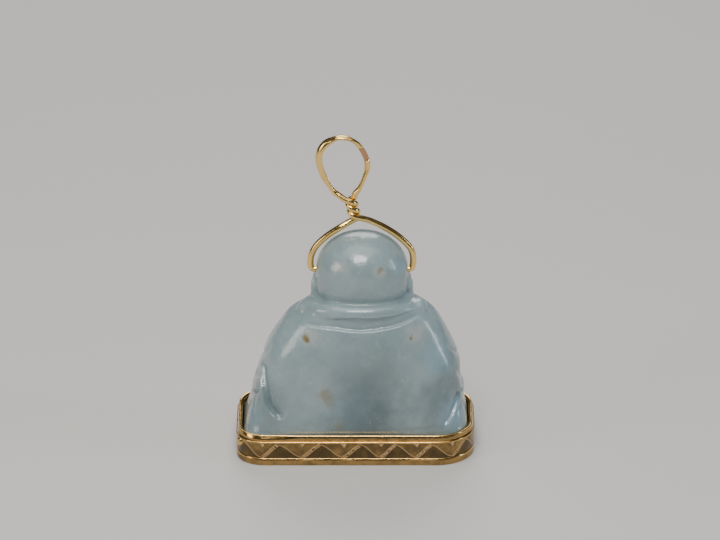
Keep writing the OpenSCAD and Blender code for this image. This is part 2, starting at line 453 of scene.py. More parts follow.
def jade_finish(stone):
    """Pale grey-green jade: translucent, clouded and glassy, with a few brown inclusions, painted shade
    towards the bottom and the sides of the back, and bluish tints that are partly a painted reflection
    of the window lamp.
    """
    f = Finish("polished_jade")
    drift = f.clouds(0.16, 2.0)
    cloud = f.clouds(0.45, 5.0, 0.6, distortion=0.6)
    wisps = f.clouds(1.1, 4.0, 0.65, place=f.stretched((1.0, 1.0, 0.45)))
    colour = f.mix(drift.step(0.38, 0.66) * 0.6, stone.body_colour, stone.moss_colour)
    colour = f.mix(cloud.step(0.42, 0.72) * 0.35, colour, stone.cloud_colour)
    colour = f.mix(wisps.step(0.5, 0.85) * 0.2, colour, stone.cloud_colour)
    # Painted shade: the back darker towards the bottom and the sides
    for centre, radius, strength in PAINTED_SHADE_PATCHES:
        colour = f.mix(f.spot(centre, radius, 0.97, 0.35, 0.5) * strength, colour, stone.painted_shade_colour)
    # Bluish tint, partly the stone's own and partly a painted reflection of the window lamp on the right
    # side
    for centre, radius, strength in BLUE_TINT_AND_REFLECTION_PATCHES:
        colour = f.mix(f.spot(centre, radius, 0.95) * strength, colour, stone.blue_tint_and_reflection_colour)
    for centre, radius, strength in BLOOMS:
        colour = f.mix(f.spot(centre, radius, 0.9, 0.5) * strength, colour, stone.bloom_colour)
    for centre, radius, strength in RUST_SPOTS:
        colour = f.mix(f.spot(centre, radius, 0.9, 0.5, 2.2) * strength, colour, stone.rust_colour)
    rough = 0.17 + cloud * 0.1 + f.clouds(3.0, 3.0).step(0.45, 0.75) * 0.06
    wheel_marks = f.clouds(0.8, 2.0)
    grain = f.clouds(6.0, 3.0, 0.6)
    pits = f.clouds(9.0, 2.0).step(0.7, 0.82)
    relief = f.bump(wheel_marks, 0.07)
    relief = f.bump(grain - pits * 0.4, 0.012, relief)
    return f.surface(
        Base_Color=colour, Roughness=rough, Normal=relief, IOR=1.66,
        Subsurface_Weight=0.42, Subsurface_Radius=(0.9, 1.1, 1.05), Subsurface_Scale=1.6 * MM,
        Coat_Weight=0.35, Coat_Roughness=0.08,
    )


def gold_finish(name, bright, dull, dark_reflection_share=0.0, polish=0.2, cut=None, worked=0.02):
    """Worn gold with fine scratches, a little tarnish and the waves the hammer or the fingers left,
    worked millimetres deep. The dark reflection share of the dull colour is painted dark reflection, and
    the marked places take the cut colour: painted highlights and glints on the frame, a stamped patch on
    the bail."""
    f = Finish(name)
    tarnish = f.clouds(0.7, 4.0, 0.6).step(0.4, 0.75)
    smear = f.clouds(2.2, 3.0, 0.55)
    scratches = f.clouds(6.0, 3.0, 0.6, place=f.stretched((0.6, 0.6, 6.0))).step(0.48, 0.72)
    hairlines = f.clouds(14.0, 2.0, 0.5, place=f.stretched((3.0, 0.4, 0.6))).step(0.55, 0.7)
    # Tarnish, plus a fixed share of painted dark reflection
    shade = (tarnish * 0.35 + dark_reflection_share).clamped()
    colour = f.mix(shade, bright, dull)
    rough = polish + tarnish * 0.08 + smear * 0.06 + scratches * 0.06
    relief = f.bump(f.clouds(1.0, 2.0), worked)
    relief = f.bump(scratches * 0.6 + hairlines * 0.4, 0.002, relief)
    if cut is not None:
        # Marked places: painted highlights on the frame's edges, painted glint in the strip's cuts, and
        # the stamped patch on the bail
        highlight_and_stamp = f.node("ShaderNodeAttribute", {"attribute_name": "cut"}).output("Fac")
        under = f.node("ShaderNodeAttribute", {"attribute_name": "under"}).output("Fac")
        colour = f.mix(under * 0.6, colour, (0.07, 0.055, 0.03))
        colour = f.mix(highlight_and_stamp, colour, cut)
        rough = rough - highlight_and_stamp * 0.05
    return f.surface(Base_Color=colour, Roughness=rough, Normal=relief, Metallic=1.0)


def cement_finish(settings):
    """Dry brown setting cement."""
    f = Finish("dry_cement")
    grit = f.clouds(6.0, 4.0, 0.7)
    colour = f.mix(grit.step(0.35, 0.7), settings.cement_colour, (0.4, 0.31, 0.2))
    return f.surface(
        Base_Color=colour, Roughness=0.75 + grit * 0.2, Normal=f.bump(grit, 0.05)
    )


# -------------------------------------------------------------------- the stone

# Patches of colour on the stone: centre in millimetres, radius and strength
# Bluish patches: the two on the figure's right side, at the shoulder and low down, are a painted
# reflection of the bluish window lamp; the rest are the stone's own tint
BLUE_TINT_AND_REFLECTION_PATCHES = [
    ((-8.6, 3.5, 11.5), 2.6, 0.45), ((-10.2, 3.4, 5.2), 2.4, 0.7),
    ((-4.7, 2.0, 21.3), 1.1, 0.7), ((10.9, 2.0, 5.0), 2.2, 0.35), ((1.0, 5.2, 6.0), 4.5, 0.18),
]
# Painted shade on the back, darker towards the bottom and over both sides
PAINTED_SHADE_PATCHES = [
    ((-1.0, 5.3, 4.4), 7.0, 0.9), ((-1.0, 5.3, 9.4), 6.8, 0.5), ((-9.4, 4.6, 6.4), 5.0, 0.62),
    ((9.4, 3.6, 6.0), 5.0, 0.55), ((-3.2, 5.2, 11.4), 2.4, 0.2), ((-10.6, 1.0, 9.0), 4.0, 0.4),
    ((-2.6, 5.2, 7.0), 2.0, 0.3),
]
BLOOMS = [
    ((4.6, 4.2, 14.3), 1.5, 0.4), ((-6.3, 4.2, 14.3), 1.7, 0.4), ((1.6, 3.7, 21.8), 1.2, 0.4),
    ((-2.6, 3.9, 21.4), 0.9, 0.5), ((3.1, 4.9, 8.4), 1.6, 0.1), ((1.2, -5.0, 10.6), 1.4, 0.35),
]
RUST_SPOTS = [
    ((5.25, 4.1, 14.0), 0.6, 0.85), ((5.05, 4.1, 13.75), 0.4, 0.8), ((3.2, 5.2, 7.8), 1.2, 0.55),
    ((2.7, 5.2, 6.9), 0.9, 0.3), ((-2.5, 3.9, 21.6), 0.55, 0.6), ((-5.83, 4.2, 14.0), 0.3, 0.8),
    ((-5.9, 4.2, 14.25), 0.22, 1.0),
    ((1.8, 5.3, 4.2), 0.8, 0.4), ((-7.4, -3.4, 9.0), 0.7, 0.5),
]

# The body's levels: height, half width to the figure's left and right, depth behind and
# in front, and how square it is
BODY_LEVELS = [
    (0.66, 11.90, 11.90, 5.28, 5.25, 9.0), (2.60, 11.85, 11.88, 5.28, 5.22, 8.0),
    (3.40, 11.62, 11.80, 5.22, 5.15, 5.5), (5.10, 11.15, 11.50, 5.28, 4.70, 4.2),
    (7.40, 10.70, 11.10, 5.32, 3.90, 3.5), (9.80, 9.95, 11.00, 5.28, 3.40, 3.1),
    (12.0, 9.20, 10.20, 5.08, 3.10, 2.8), (14.0, 8.00, 9.25, 4.72, 2.90, 2.6),
    (15.4, 7.00, 8.40, 4.35, 2.80, 2.4), (16.3, 5.70, 7.40, 4.05, 2.60, 2.3),
    (17.0, 4.55, 6.25, 3.70, 2.30, 2.2), (17.7, 3.30, 4.60, 2.80, 1.80, 2.0),
]


# The head's lower half in the same way, across from its own middle
JAW_LEVELS = [
    (15.9, 3.90, 3.90, 2.60, 2.90, 2.2), (16.7, 4.30, 4.30, 3.00, 3.30, 2.1),
    (17.5, 4.70, 4.70, 3.42, 3.60, 2.1), (18.4, 4.88, 4.88, 3.82, 3.80, 2.1),
    (19.3, 4.88, 4.88, 4.08, 3.95, 2.1), (20.1, 4.84, 4.84, 4.18, 4.05, 2.05),
    (20.5, 4.72, 4.72, 4.10, 4.00, 2.0),
]


def loft(bm, levels, middle=0.0):
    """A solid through rounded-square sections, each a row of the levels."""
    levels = smooth_path(levels, 80)
    part = bmesh.new()
    rod_blank(part, 112, 60)

    def swell(p):
        z = levels[0, 0] + (levels[-1, 0] - levels[0, 0]) * p[:, 2]
        left, right, behind, before, square = (
            np.interp(z, levels[:, 0], levels[:, k]) for k in range(1, 6)
        )
        angle = np.arctan2(p[:, 1], p[:, 0])
        c, s = np.cos(angle), np.sin(angle)
        full = np.hypot(p[:, 0], p[:, 1])
        x = np.where(c > 0, left, right) * np.sign(c) * np.abs(c) ** (2 / square)
        y = np.where(s > 0, behind, before) * np.sign(s) * np.abs(s) ** (2 / square)
        return np.stack([middle + x * full, y * full, z], 1)

    shape(part, swell)
    join(bm, part)


# How square the crown is: 2 would be round
CROWN_SQUARE = 2.06


def crown_blank(bm, half_width):
    """The shaved head, turned about the line between the ears."""
    steps = 22
    power = 2 / CROWN_SQUARE
    verts = []
    for i in range(steps + 1):
        a = math.pi * i / steps - math.pi / 2
        r = CROWN_R * max(math.cos(a), 0.0) ** power
        x = half_width * math.copysign(abs(math.sin(a)) ** power, a)
        verts.append(bm.verts.new((HEAD_X + x, 0, EAR_Z + r)))
    edges = [bm.edges.new(pair) for pair in zip(verts, verts[1:])]
    bmesh.ops.spin(
        bm, geom=verts + edges, cent=EAR_LINE, axis=(1, 0, 0), angle=2 * math.pi,
        steps=56, use_merge=True,
    )
    bmesh.ops.remove_doubles(bm, verts=bm.verts, dist=1e-4)
    bmesh.ops.recalc_face_normals(bm, faces=bm.faces)


def head_blanks(bm, half_width):
    """Jaw, cheeks, chin, brow, nose, lids, lips and the long ears of the head."""
    x = HEAD_X
    ball(bm, (x, -2.9, 16.5), (1.9, 1.25, 1.15))
    for s in (-1, 1):
        ball(bm, (x + 2.15 * s, -2.75, 18.0), (1.5, 1.3, 1.35))
        limb(bm, (x + 0.5 * s, -4.02, 20.65, 0.2), (x + 1.5 * s, -3.95, 20.95, 0.24),
             (x + 2.7 * s, -3.4, 20.7, 0.2))
        ball(bm, (x + 1.75 * s, -3.7, 19.78), (0.85, 0.46, 0.4))
        ball(bm, (x + 0.48 * s, -4.22, 18.7), (0.33, 0.34, 0.26))
        # the ear: a long lobe with a raised rim
        side = x + s * (half_width + 0.05)
        ball(bm, (side, -0.55, 18.3), (0.42, 0.85, 1.15))
        ball(bm, (side + 0.12 * s, -0.5, 16.95), (0.42, 0.62, 0.95))
        limb(bm, (side - 0.42 * s, -0.1, 18.7, 0.42), (side - 0.35 * s, 0.1, 16.6, 0.6))
        limb(bm, (side - 0.1 * s, 0.05, 19.2, 0.24), (side + 0.28 * s, 0.28, 18.9, 0.22),
             (side + 0.3 * s, 0.3, 17.6, 0.24), (side + 0.25 * s, 0.1, 16.5, 0.3))
    limb(bm, (x, -3.95, 20.5, 0.3), (x, -4.3, 19.3, 0.36), (x, -4.42, 18.85, 0.45))
    ball(bm, (x, -3.72, 17.42), (0.95, 0.46, 0.2))
    ball(bm, (x, -3.66, 17.02), (0.75, 0.46, 0.26))


def collar_path(reach_x, reach_y, low, high, spread=40):
    """A line round the neck: high at the nape and falling over both shoulders."""
    angles = np.radians(np.linspace(-spread, 180 + spread, 30))
    return np.stack([
        HEAD_X + reach_x * np.cos(angles), reach_y * np.sin(angles),
        low + (high - low) * np.sin(angles),
    ], 1)


def rope(bm, path, radius, flat=1.0, taper=0.0):
    """A rounded roll along a path, thinning towards its ends."""
    part = bmesh.new()
    rod_blank(part, 18, max(len(path), 12))
    t = np.linspace(0, 1, len(path))
    size = radius * (1 - taper * np.abs(2 * t - 1) ** 3)
    sweep_rod(part, path, size * flat, size, UP)
    join(bm, part)


def robe_blanks(bm):
    """The collar roll, a swelling at each of its ends, and the open robe's edges."""
    rope(bm, collar_path(5.75, 3.62, 15.85, 16.62), 0.93, taper=0.25)
    ball(bm, (5.2, 1.1, 16.08), (1.0, 1.2, 0.62))
    ball(bm, (-6.55, 1.0, 16.35), (0.95, 1.2, 0.78))
    for s in (-1, 1):
        edge = smooth_path([
            (HEAD_X + 5.9 * s, 0.2, 16.0), (HEAD_X + 5.2 * s, -2.2, 15.0),
            (HEAD_X + 4.9 * s, -3.3, 13.2), (HEAD_X + 5.1 * s, -3.75, 10.6),
            (HEAD_X + 4.8 * s, -4.2, 8.0), (HEAD_X + 3.2 * s, -4.75, 5.9),
            (HEAD_X + 1.0 * s, -5.0, 4.9),
        ], 40)
        rope(bm, edge, 0.52, flat=0.8)


def limb_blanks(bm):
    """Belly and chest, both arms and hands, the raised left knee, the folded right leg
    and the feet."""
    ball(bm, (-0.5, -1.05, 9.3), (4.7, 4.05, 4.2))
    for s in (-1, 1):
        ball(bm, (HEAD_X + 2.2 * s, -1.75, 14.0), (2.3, 1.9, 1.5))
    # left arm on the raised knee
    limb(bm, (5.6, -0.8, 13.3, 1.8), (7.7, -1.5, 10.6, 1.7), (7.2, -3.5, 9.9, 1.15))
    limb(bm, (8.2, -2.2, 7.6, 2.0), (7.2, -3.3, 7.9, 1.65), (5.7, -3.9, 4.6, 1.05))
    limb(bm, (9.1, -1.7, 5.2, 1.5), (8.2, -2.2, 7.6, 2.0))
    # right arm on the folded leg
    limb(bm, (-6.7, -0.8, 13.1, 1.9), (-8.9, -1.3, 9.6, 1.75), (-6.9, -3.9, 7.6, 1.15))
    limb(bm, (-5.0, -2.6, 5.0, 2.0), (-9.1, -2.9, 5.0, 1.95), (-9.8, -1.7, 4.6, 1.5))
    limb(bm, (-9.0, -3.3, 4.4, 1.5), (-3.4, -4.1, 4.2, 1.05))
    # hands, with a thumb and four fingers each
    ball(bm, (6.75, -4.1, 9.3), (0.95, 0.75, 0.8))
    for i in range(4):
        x = 7.35 - 0.42 * i
        limb(bm, (x, -4.5, 9.3, 0.25), (x - 0.1, -4.86, 8.6 - 0.08 * (i == 1), 0.24),
             (x - 0.16, -4.8, 8.0, 0.2))
    limb(bm, (6.0, -4.3, 9.3, 0.28), (5.6, -4.75, 8.8, 0.24))
    ball(bm, (-6.2, -4.25, 7.0), (0.85, 0.7, 0.8))
    for i in range(4):
        x = -6.85 + 0.42 * i
        limb(bm, (x, -4.65, 6.9, 0.25), (x + 0.12, -4.95, 6.2, 0.24), (x + 0.18, -4.95, 5.6, 0.2))
    limb(bm, (-5.5, -4.4, 7.1, 0.28), (-5.0, -4.85, 6.7, 0.24))
    # feet: the left one flat, the right sole turned up, with toes
    limb(bm, (5.3, -4.1, 4.1, 0.85), (3.7, -4.45, 3.95, 0.72))
    limb(bm, (-2.9, -4.3, 4.15, 0.85), (-1.2, -4.5, 4.1, 0.7))
    for i in range(5):
        ball(bm, (3.05 - 0.05 * i, -4.55 + 0.13 * i, 3.7 + 0.3 * i), 0.22 - 0.015 * i)
        ball(bm, (-0.62 + 0.04 * i, -4.62 + 0.1 * i, 3.72 + 0.27 * i), 0.22 - 0.015 * i)


# The way into the stone from each side, and how far out a tool starts
INWARD = {"back": (0, -1, 0), "front": (0, 1, 0), "left": (-1, 0, 0), "right": (1, 0, 0)}
FAR_OUT = 30


class Carving:
    """The stone's surface as arrays, cut and rubbed the way a carver's wheel does it."""

    def __init__(self, mesh):
        self.mesh = mesh
        bm = bmesh.new()
        bm.from_mesh(mesh)
        self.tree = BVHTree.FromBMesh(bm)
        bm.free()
        self.co = self.read(mesh.vertices, "co")
        self.normal = self.read(mesh.vertex_normals, "vector")

    def read(self, items, key):
        """A vector of each item, as rows of an array."""
        values = np.zeros(len(items) * 3, np.float32)
        items.foreach_get(key, values)
        return values.reshape(-1, 3).astype(float)

    def write(self):
        """Puts the carved places back into the mesh."""
        self.mesh.vertices.foreach_set("co", self.co.astype(np.float32).ravel())
        self.mesh.update()

    def on_surface(self, points, side):
        """Points given across and up, dropped on the surface from one side."""
        inward = Vector(INWARD[side])
        if len(points) > 2:
            points = smooth_path(points, max(8 * len(points), 24))
        found = []
        for a, b in points:
            start = Vector((a, 0, b)) if inward.x == 0 else Vector((0, a, b))
            hit = self.tree.ray_cast(start - FAR_OUT * inward, inward)[0]
            if hit is not None:
                found.append(hit)
        return np.array(found)

    def reach(self, path, radius):
        """Vertices near a path, with their distance from it, share along it and side of it."""
        inside = ((self.co > path.min(0) - radius) & (self.co < path.max(0) + radius)).all(1)
        near = np.nonzero(inside)[0]
        p, normal = self.co[near], self.normal[near]
        best = np.full(len(near), np.inf)
        along, side = np.zeros(len(near)), np.zeros(len(near))
        count = max(len(path) - 1, 1)
        for i in range(count):
            a = path[i]
            d = path[min(i + 1, len(path) - 1)] - a
            t = np.clip((p - a) @ d / max(d @ d, 1e-9), 0, 1)
            off = p - a - t[:, None] * d
            distance = np.linalg.norm(off, axis=1)
            closer = distance < best
            best[closer] = distance[closer]
            along[closer] = ((i + t) / count)[closer]
            side[closer] = np.sign((np.cross(d, off) * normal).sum(1))[closer]
        keep = best < radius
        return near[keep], best[keep], along[keep], side[keep]

    def push(self, near, amount):
        """Moves vertices outwards by their own amounts."""
        self.co[near] += self.normal[near] * amount[:, None]

    def fade(self, along, ends):
        """How much of a cut is left at each share of its line, as it runs out at its ends."""
        if ends <= 0:
            return 1.0
        return smoothstep(np.minimum(along, 1 - along) / ends)

    def groove(self, points, side, width, depth, ends=0.25):
        """A rounded cut along a line. A negative depth raises a ridge."""
        near, distance, along, _ = self.reach(self.on_surface(points, side), 3 * width)
        self.push(near, -depth * np.exp(-((distance / width) ** 2)) * self.fade(along, ends))

    def lap(self, points, side, depth, spread, ends=0.2, lip=0.25):
        """An edge of cloth: seen from outside, the surface drops on the left of the line and
        comes back up over the spread, and its right side swells to a soft lip."""
        near, distance, along, hand = self.reach(self.on_surface(points, side), 3 * spread)
        low = -depth * np.exp(-((distance / spread) ** 1.5))
        high = lip * depth * np.exp(-((distance / (0.45 * spread)) ** 2))
        edge = smoothstep(hand * distance, -0.07, 0.07)
        self.push(near, (low * edge + high * (1 - edge)) * self.fade(along, ends))

    def dimple(self, point, side, radius, depth):
        """A round hollow at a point. A negative depth raises a boss."""
        self.groove([point, (point[0] + 1e-3, point[1])], side, radius, depth, ends=0)

    def relax(self):
        """Rubs the whole surface lightly."""
        bm = bmesh.new()
        bm.from_mesh(self.mesh)
        bmesh.ops.smooth_vert(
            bm, verts=bm.verts, factor=0.5, use_axis_x=True, use_axis_y=True, use_axis_z=True
        )
        bm.to_mesh(self.mesh)
        bm.free()


def carve_back(stone):
    """The collar's creases, the sleeves' edges and the robe's folds, seen from behind."""
    # the collar's lower edge, the hollow band below it and the back's raised top edge
    stone.lap([(-6.6, 16.6), (-4.1, 16.4), (-1.8, 16.3), (-0.2, 16.4), (1.6, 16.2), (2.5, 16.05),
               (3.5, 16.1), (4.6, 16.6)], "back", 0.2, 0.45, 0.15, 0.1)
    stone.lap([(6.0, 15.2), (4.4, 15.2), (2.2, 15.16), (-0.5, 14.9), (-3.1, 15.14), (-4.7, 15.4),
               (-6.1, 15.8), (-7.4, 16.05)], "back", 0.26, 0.6, 0.12, 0.3)
    stone.groove([(4.4, 15.75), (2.2, 15.6), (-0.4, 15.45), (-3.0, 15.6), (-5.4, 15.95)], "back",
                 0.4, 0.12, 0.2)
    # the left sleeve's lower edge, over the raised knee
    stone.lap([(9.6, 11.6), (9.95, 9.2), (9.75, 7.4), (9.2, 5.9), (7.7, 4.7)], "back",
              0.55, 1.1, 0.12, 0.2)
    stone.groove([(10.9, 8.4), (10.7, 6.4), (10.9, 4.2)], "back", 0.4, 0.12, 0.4)
    # the right sleeve's edge and the folds over the folded leg
    stone.lap([(-9.3, 3.9), (-10.2, 5.0), (-10.9, 6.4), (-11.2, 7.4)], "back", 0.35, 0.8, 0.2)
    stone.groove([(-9.9, 3.6), (-10.8, 5.2), (-11.3, 6.4)], "back", 0.2, 0.12, 0.3)
    stone.groove([(-8.6, 3.7), (-9.5, 4.8), (-10.2, 6.2)], "back", 0.28, 0.08, 0.4)
    # soft planes of the back and hem cuts near the frame
    stone.groove([(-5.9, 10.2), (-5.5, 7.5), (-5.3, 4.0)], "back", 0.55, 0.1, 0.4)
    stone.groove([(4.9, 4.9), (4.5, 4.3), (4.2, 3.8)], "back", 0.13, 0.1, 0.35)
    stone.groove([(-4.6, 3.75), (-7.0, 3.85), (-9.6, 4.1)], "back", 0.13, 0.08, 0.3)
    stone.dimple((-5.85, 14.2), "back", 0.12, 0.14)


def carve_sides(stone):
    """Sleeve folds at the elbows and the knees' folds."""
    for side, reach in (("left", 1), ("right", -1)):
        stone.groove([(2.6, 12.4), (0.6, 10.6), (-1.6, 9.9)], side, 0.28, 0.16)
        stone.groove([(3.0, 9.6), (1.2, 8.4), (-1.0, 8.0)], side, 0.3, 0.18)
        stone.lap([(3.6, 7.8), (1.6, 6.6), (-0.6, 6.4), (-2.6, 6.9)], side, 0.3 * reach, 0.7)
        stone.groove([(2.0, 5.6), (0.0, 4.6), (-2.2, 4.4)], side, 0.25, 0.14)
        stone.dimple((-0.5, 18.6), side, 0.3, 0.22)


def carve_front(stone):
    """The face, the belly, the hands' and feet's cuts and the robe's folds."""
    x = HEAD_X
    for s in (-1, 1):
        # lids, brows, nostrils, mouth corners and cheeks
        for line, width, depth, ends in (
            ([(1.05, 19.72), (1.75, 19.55), (2.5, 19.75)], 0.1, 0.13, 0.2),
            ([(1.0, 20.15), (1.75, 20.32), (2.6, 20.1)], 0.14, 0.1, 0.25),
            ([(0.75, 18.95), (1.1, 18.45), (1.35, 17.6)], 0.2, 0.1, 0.3),
        ):
            stone.groove([(x + out * s, up) for out, up in line], "front", width, depth, ends)
        stone.dimple((x + 1.02 * s, 17.3), "front", 0.16, 0.1)
        # robe folds fanning from the shoulders and over the knees
        for k in range(3):
            stone.groove(
                [(x + (6.1 + 0.6 * k) * s, 14.4 - 0.9 * k), (x + (6.6 + 0.5 * k) * s, 12.2 - 0.7 * k),
                 (x + (7.4 + 0.4 * k) * s, 10.6 - 0.5 * k)], "front", 0.22, 0.14, 0.35)
    stone.groove([(x - 0.9, 17.24), (x, 17.18), (x + 0.9, 17.24)], "front", 0.09, 0.14, 0.2)
    stone.groove([(x - 0.3, 16.6), (x, 16.55), (x + 0.3, 16.6)], "front", 0.14, 0.08, 0.3)
    # chest folds, navel and belly crease
    chest = [(x - 2.9, 12.9), (x - 1.6, 12.6), (x, 12.9), (x + 1.6, 12.6), (x + 2.9, 12.9)]
    stone.groove(chest, "front", 0.26, 0.2)
    stone.dimple((-0.5, 8.5), "front", 0.26, 0.4)
    stone.groove([(-2.0, 8.2), (-0.5, 7.9), (1.0, 8.2)], "front", 0.22, 0.1, 0.4)
    stone.groove([(-3.7, 6.3), (-0.5, 5.3), (2.7, 6.3)], "front", 0.24, 0.22, 0.2)
    # the sash and skirt pleats
    for k in range(5):
        a = -2.4 + 1.1 * k
        stone.groove([(a, 5.0), (a * 0.9 - 0.2, 4.2), (a * 0.8 - 0.4, 3.6)], "front", 0.13, 0.12, 0.2)
    stone.lap([(10.6, 4.4), (9.4, 6.6), (8.4, 8.6), (8.8, 10.4)], "front", 0.2, 0.6)
    stone.lap([(-4.2, 6.9), (-6.6, 6.3), (-9.0, 6.6), (-10.6, 7.6)], "front", 0.22, 0.6)
    for a, b in (((9.6, 5.2), (7.2, 8.2)), ((8.8, 4.4), (6.7, 6.4))):
        mid = ((a[0] + b[0]) / 2 + 0.4, (a[1] + b[1]) / 2 - 0.2)
        stone.groove([a, mid, b], "front", 0.2, 0.13, 0.3)
    for a, b in (((-10.4, 4.6), (-5.4, 3.9)), ((-10.2, 5.6), (-5.6, 5.2))):
        mid = ((a[0] + b[0]) / 2, (a[1] + b[1]) / 2 + 0.35)
        stone.groove([a, mid, b], "front", 0.18, 0.12, 0.3)


def carved_stone(settings, frame_settings):
    """Joins the blanks into one stone, rounds it, carves it and seats it in the frame."""
    half_width = settings.head_half_width / MM
    bm = bmesh.new()
    loft(bm, BODY_LEVELS)
    loft(bm, JAW_LEVELS, HEAD_X)
    crown = bmesh.new()
    crown_blank(crown, half_width)
    join(bm, crown)
    head_blanks(bm, half_width)
    robe_blanks(bm)
    limb_blanks(bm)
    grain = settings.grain / MM
    mesh = with_modifiers(
        to_mesh(bm, "stone_blank"),
        ("REMESH", {"mode": "VOXEL", "voxel_size": grain}),
        ("SMOOTH", {"factor": 0.5, "iterations": settings.melt}),
    )
    stone = Carving(mesh)
    carve_back(stone)
    carve_sides(stone)
    carve_front(stone)
    stone.write()
    stone.relax()
    seat(mesh, frame_settings)
    return drilled(mesh, settings.hole_radius / MM)


def seat(mesh, settings):
    """Keeps the stone inside the frame's wall up to the bezel's top edge."""
    outline = Outline(STRIP_LOW, STRIP_HIGH, settings)
    co = np.zeros(len(mesh.vertices) * 3, np.float32)
    mesh.vertices.foreach_get("co", co)
    co = co.reshape(-1, 3).astype(float)
    low = STONE_LOW.z
    co[:, 2] = np.maximum(co[:, 2], low)
    inset = settings.wall / MM + 0.05
    outline.tuck(co, inset, 1 - smoothstep(co[:, 2], FRAME_TOP + 0.3, FRAME_TOP + 3.5))
    mesh.vertices.foreach_set("co", co.astype(np.float32).ravel())
    mesh.update()


def drilled(mesh, radius):
    """Drills the hole from ear to ear."""
    bm = bmesh.new()
    bmesh.ops.create_cone(
        bm, cap_ends=True, segments=48, radius1=radius, radius2=radius, depth=14,
        matrix=matrix_to(EAR_LINE, (1, 0, 0)),
    )
    drill = bpy.data.objects.new("drill", to_mesh(bm, "drill"))
    bpy.context.scene.collection.objects.link(drill)
    made = with_modifiers(
        mesh, ("BOOLEAN", {"operation": "DIFFERENCE", "object": drill, "solver": "EXACT"})
    )
    bpy.data.objects.remove(drill)
    return made


# ------------------------------------------------------------------ gold frame


class Outline:
    """The frame's rounded outline, walked anticlockwise from the back left corner."""

    def __init__(self, low, high, settings):
        self.half = np.array([(high.x - low.x) / 2, (high.y - low.y) / 2])
        front = settings.corner_front / MM
        self.corners = {
            (-1, 1): settings.corner_back_right / MM, (-1, -1): front, (1, -1): front,
            (1, 1): settings.corner_back_left / MM,
        }
        signs, radii = list(self.corners), list(self.corners.values())
        place = np.array([self.half[0] - radii[-1], self.half[1]])
        self.runs = []
        start = 0.0
        for k, radius in enumerate(radii):
            heading = math.pi + k * math.pi / 2
            straight = 2 * self.half[k % 2] - radii[k - 1] - radius
            self.runs.append((start, straight, place, heading, 0.0))
            place = place + straight * np.array([math.cos(heading), math.sin(heading)])
            start += straight
            centre = np.array(signs[k]) * (self.half - radius)
            self.runs.append((start, radius * math.pi / 2, centre, heading - math.pi / 2, radius))
            start += radius * math.pi / 2
            heading += math.pi / 2
            place = centre + radius * np.array([math.sin(heading), -math.cos(heading)])
        self.length = start

    def walk(self, s):
        """Points on the outline at the given lengths along it, and the way out from them."""
        s = np.mod(s, self.length)
        points, outward = np.zeros((len(s), 2)), np.zeros((len(s), 2))
        for start, length, origin, angle, radius in self.runs:
            here = (s >= start - 1e-9) & (s <= start + length + 1e-9)
            t = (s[here] - start)[:, None]
            if radius:
                turned = angle + t / radius
                out = np.hstack([np.cos(turned), np.sin(turned)])
                points[here] = origin + radius * out
            else:
                out = np.array([[math.sin(angle), -math.cos(angle)]])
                points[here] = origin + t * [math.cos(angle), math.sin(angle)]
            outward[here] = out
        return points, outward

    def tuck(self, co, inset, amount):
        """Moves points that lie outside the outline, less an inset, back onto it."""
        inner = self.half - inset
        xy = co[:, :2]
        held = np.clip(xy, -inner, inner)
        for (sx, sy), radius in self.corners.items():
            r = radius - inset
            centre = np.array([sx, sy]) * (inner - r)
            away = (held - centre) * [sx, sy]
            out = np.linalg.norm(away, axis=1)
            over = (away > 0).all(1) & (out > r)
            held[over] = centre + away[over] / out[over, None] * r * [sx, sy]
        co[:, :2] = xy + (held - xy) * amount[:, None]


# Radius at which a ring's profile is turned before it is bent to the outline
TURNED_R = 10


def ring_piece(name, outline, profile, steps, hand, relief=None):
    """Turns a closed profile of (out, up) points once round and bends it to the outline.
    Hand is (seed, size) of its unevenness. Gives the mesh, and the length along the
    outline, the way out and the height of each vertex."""
    bm = bmesh.new()
    verts = [bm.verts.new((TURNED_R + out, 0, up)) for out, up in profile]
    for pair in zip(verts, verts[1:] + verts[:1]):
        bm.edges.new(pair)
    turned = with_modifiers(
        to_mesh(bm, name),
        ("SCREW", {"steps": steps, "render_steps": steps, "use_merge_vertices": True}),
    )
    bm = bmesh.new()
    bm.from_mesh(turned)
    bmesh.ops.recalc_face_normals(bm, faces=bm.faces)
    co = np.array([v.co for v in bm.verts])
    s = np.mod(np.arctan2(co[:, 1], co[:, 0]), 2 * math.pi) / (2 * math.pi) * outline.length
    out, up = np.hypot(co[:, 0], co[:, 1]) - TURNED_R, co[:, 2]
    points, outward = outline.walk(s)
    seed, size = hand
    angle = s * 2 * math.pi / outline.length
    turn = np.stack([np.cos(angle), np.sin(angle)], 1)
    drift = np.array([noise.noise((*(a * 4), seed)) for a in turn]) - 1
    shift = out + size * drift
    if relief is not None:
        shift = shift - relief(s, out, up)
    placed = np.column_stack([points + outward * shift[:, None], up])
    shape(bm, lambda _: placed)
    return to_mesh(bm, name), s, out, up


# Where the wave's crests were cut, along the back from its left corner. The rest of the
# way round they are evenly spaced.
BACK_CRESTS = [1.56, 5.97, 10.28, 13.95, 17.73]
FALL_SHARE = 0.56


